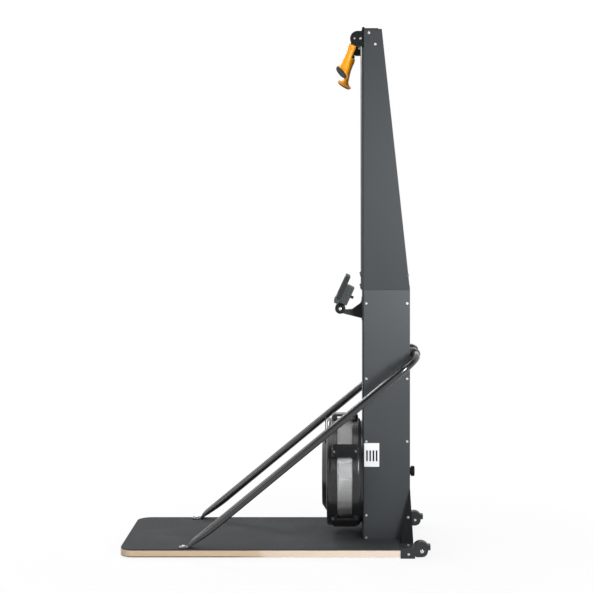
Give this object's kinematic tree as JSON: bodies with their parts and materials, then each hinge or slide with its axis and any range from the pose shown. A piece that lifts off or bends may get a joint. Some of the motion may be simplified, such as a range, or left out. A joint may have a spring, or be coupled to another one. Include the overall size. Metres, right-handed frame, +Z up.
{
  "type": "ski trainer machine",
  "caption": "Upright ski trainer: a sheet-metal tower on a standing board, with pull handles on cords, an air flywheel, a tube brace, a tilting monitor and transport wheels.",
  "frame": {"origin": "on the floor, at the centre of the machine's footprint box", "axes": "+Z up, +X from the user towards the tower and its wheels, +Y to the user's left"},
  "size_m": [1.26, 0.612, 2.155],
  "materials": {
    "plywood": "clear-coated plywood edge",
    "mat_rubber": "fine-grained non-slip mat",
    "foot_rubber": "matte",
    "panel_paint": "textured charcoal powder coat",
    "bracket_paint": "satin black powder coat",
    "tube_paint": "gloss black paint",
    "frame_paint": "matte primer",
    "vent_paint": "smooth white paint",
    "bright_steel": "zinc-plated",
    "outlet_mesh": "fine perforated sheet",
    "fan_alloy": "satin",
    "fan_plastic": "moulded gloss black",
    "black_plastic": "moulded, fine texture",
    "monitor_plastic": "moulded dark grey",
    "key_rubber": "soft-touch",
    "screen_glass": "grey display window",
    "handle_yellow": "moulded yellow-orange",
    "pad_rubber": "soft",
    "cord_black": "braided jacket",
    "wheel_rubber": "hard rubber"
  },
  "bodies": {
    "root": {"platform_board": "plywood", "platform_mat": "mat_rubber", "platform_feet": "foot_rubber", "right_corner_bracket": "bracket_paint", "left_corner_bracket": "bracket_paint", "base_bolts": "bright_steel", "brace_tube": "tube_paint", "brace_saddles": "tube_paint", "tower_frame": "frame_paint", "base_gussets": "bracket_paint", "lower_front_panel": "panel_paint", "lower_rear_panel": "panel_paint", "right_lower_panel": "panel_paint", "left_lower_panel": "panel_paint", "panel_screws": "bright_steel", "vent_plates": "vent_paint", "upper_front_panel": "panel_paint", "upper_rear_panel": "panel_paint", "right_upper_panel": "panel_paint", "left_upper_panel": "panel_paint", "top_cap": "panel_paint", "axle_bearings": "bright_steel", "rear_bearing_cap": "black_plastic", "fan_rear_cover": "fan_plastic", "fan_mesh_band": "outlet_mesh", "fan_front_cover": "fan_plastic", "fan_spacers": "fan_plastic", "fan_screws": "bright_steel", "right_pulley_housing": "black_plastic", "left_pulley_housing": "black_plastic", "right_cord": "cord_black", "left_cord": "cord_black", "return_cords": "cord_black", "pulley_axles": "bright_steel", "monitor_arm": "black_plastic", "monitor_pivot_bolt": "bright_steel"},
    "flywheel": {"flywheel_fan": "fan_alloy", "flywheel_axle": "bright_steel"},
    "right_drum": {"right_drum": "black_plastic", "right_winding": "cord_black"},
    "left_drum": {"left_drum": "black_plastic", "left_winding": "cord_black"},
    "right_handle": {"right_handle_grip": "handle_yellow", "right_handle_pad": "pad_rubber"},
    "left_handle": {"left_handle_grip": "handle_yellow", "left_handle_pad": "pad_rubber"},
    "right_top_pulley": {"right_top_pulley": "black_plastic"},
    "left_top_pulley": {"left_top_pulley": "black_plastic"},
    "right_front_pulley": {"right_front_pulley": "black_plastic"},
    "left_front_pulley": {"left_front_pulley": "black_plastic"},
    "right_wheel": {"right_wheel": "wheel_rubber"},
    "left_wheel": {"left_wheel": "wheel_rubber"},
    "monitor": {"monitor_case": "monitor_plastic", "monitor_bezel": "monitor_plastic", "monitor_screen": "screen_glass"},
    "monitor_key_1": {"monitor_key_1": "key_rubber"},
    "monitor_key_2": {"monitor_key_2": "key_rubber"},
    "monitor_key_3": {"monitor_key_3": "key_rubber"},
    "monitor_key_4": {"monitor_key_4": "key_rubber"},
    "damper": {"damper": "fan_plastic"}
  },
  "joints": [
    {"name": "right_handle_pull", "type": "slide", "parent": "root", "child": "right_handle", "axis": [-0.3584, 0, -0.9336], "range_m": [0, 1.25], "stiffness_N_per_m": 8, "springref_m": -0.8},
    {"name": "left_handle_pull", "type": "slide", "parent": "root", "child": "left_handle", "axis": [-0.2672, 0, -0.9636], "range_m": [0, 1.25], "stiffness_N_per_m": 8, "springref_m": -0.8},
    {"name": "right_drum_spin", "type": "hinge", "parent": "root", "child": "right_drum", "pos_m": [0, 0, 0.298], "axis": [1, 0, 0], "continuous": true},
    {"name": "left_drum_spin", "type": "hinge", "parent": "root", "child": "left_drum", "pos_m": [0, 0, 0.298], "axis": [1, 0, 0], "continuous": true},
    {"name": "right_top_pulley_spin", "type": "hinge", "parent": "root", "child": "right_top_pulley", "pos_m": [0.4085, -0.20796, 2.085], "axis": [0, 1, 0], "continuous": true},
    {"name": "left_top_pulley_spin", "type": "hinge", "parent": "root", "child": "left_top_pulley", "pos_m": [0.4085, 0.20796, 2.085], "axis": [0, 1, 0], "continuous": true},
    {"name": "right_front_pulley_spin", "type": "hinge", "parent": "root", "child": "right_front_pulley", "pos_m": [0.348, -0.20796, 2.1095], "axis": [0, 1, 0], "continuous": true},
    {"name": "left_front_pulley_spin", "type": "hinge", "parent": "root", "child": "left_front_pulley", "pos_m": [0.348, 0.20796, 2.1095], "axis": [0, 1, 0], "continuous": true},
    {"name": "flywheel_spin", "type": "hinge", "parent": "root", "child": "flywheel", "pos_m": [0, 0, 0.298], "axis": [1, 0, 0], "continuous": true},
    {"name": "damper_turn", "type": "hinge", "parent": "root", "child": "damper", "pos_m": [0, 0, 0.298], "axis": [1, 0, 0], "range_deg": [0, 30]},
    {"name": "monitor_tilt", "type": "hinge", "parent": "root", "child": "monitor", "pos_m": [0.2647, 0, 0.9877], "axis": [0, 1, 0], "range_deg": [-30, 15]},
    {"name": "right_wheel_spin", "type": "hinge", "parent": "root", "child": "right_wheel", "pos_m": [0.5959, -0.285, 0.0304], "axis": [0, 1, 0], "continuous": true},
    {"name": "left_wheel_spin", "type": "hinge", "parent": "root", "child": "left_wheel", "pos_m": [0.5959, 0.285, 0.0304], "axis": [0, 1, 0], "continuous": true},
    {"name": "monitor_key_1_press", "type": "slide", "parent": "monitor", "child": "monitor_key_1", "axis": [0.9063, 0, -0.4226], "range_m": [0, 0.0012], "stiffness_N_per_m": 300, "springref_m": -0.001},
    {"name": "monitor_key_2_press", "type": "slide", "parent": "monitor", "child": "monitor_key_2", "axis": [0.9063, 0, -0.4226], "range_m": [0, 0.0012], "stiffness_N_per_m": 300, "springref_m": -0.001},
    {"name": "monitor_key_3_press", "type": "slide", "parent": "monitor", "child": "monitor_key_3", "axis": [0.9063, 0, -0.4226], "range_m": [0, 0.0012], "stiffness_N_per_m": 300, "springref_m": -0.001},
    {"name": "monitor_key_4_press", "type": "slide", "parent": "monitor", "child": "monitor_key_4", "axis": [0.9063, 0, -0.4226], "range_m": [0, 0.0012], "stiffness_N_per_m": 300, "springref_m": -0.001}
  ],
  "couplings": [
    {"joint": "right_drum_spin", "follows": "right_handle_pull", "rad_per_m": -32.787},
    {"joint": "left_drum_spin", "follows": "left_handle_pull", "rad_per_m": 32.787},
    {"joint": "right_top_pulley_spin", "follows": "right_handle_pull", "rad_per_m": -50},
    {"joint": "right_front_pulley_spin", "follows": "right_handle_pull", "rad_per_m": -50},
    {"joint": "left_top_pulley_spin", "follows": "left_handle_pull", "rad_per_m": -50},
    {"joint": "left_front_pulley_spin", "follows": "left_handle_pull", "rad_per_m": -50}
  ]
}
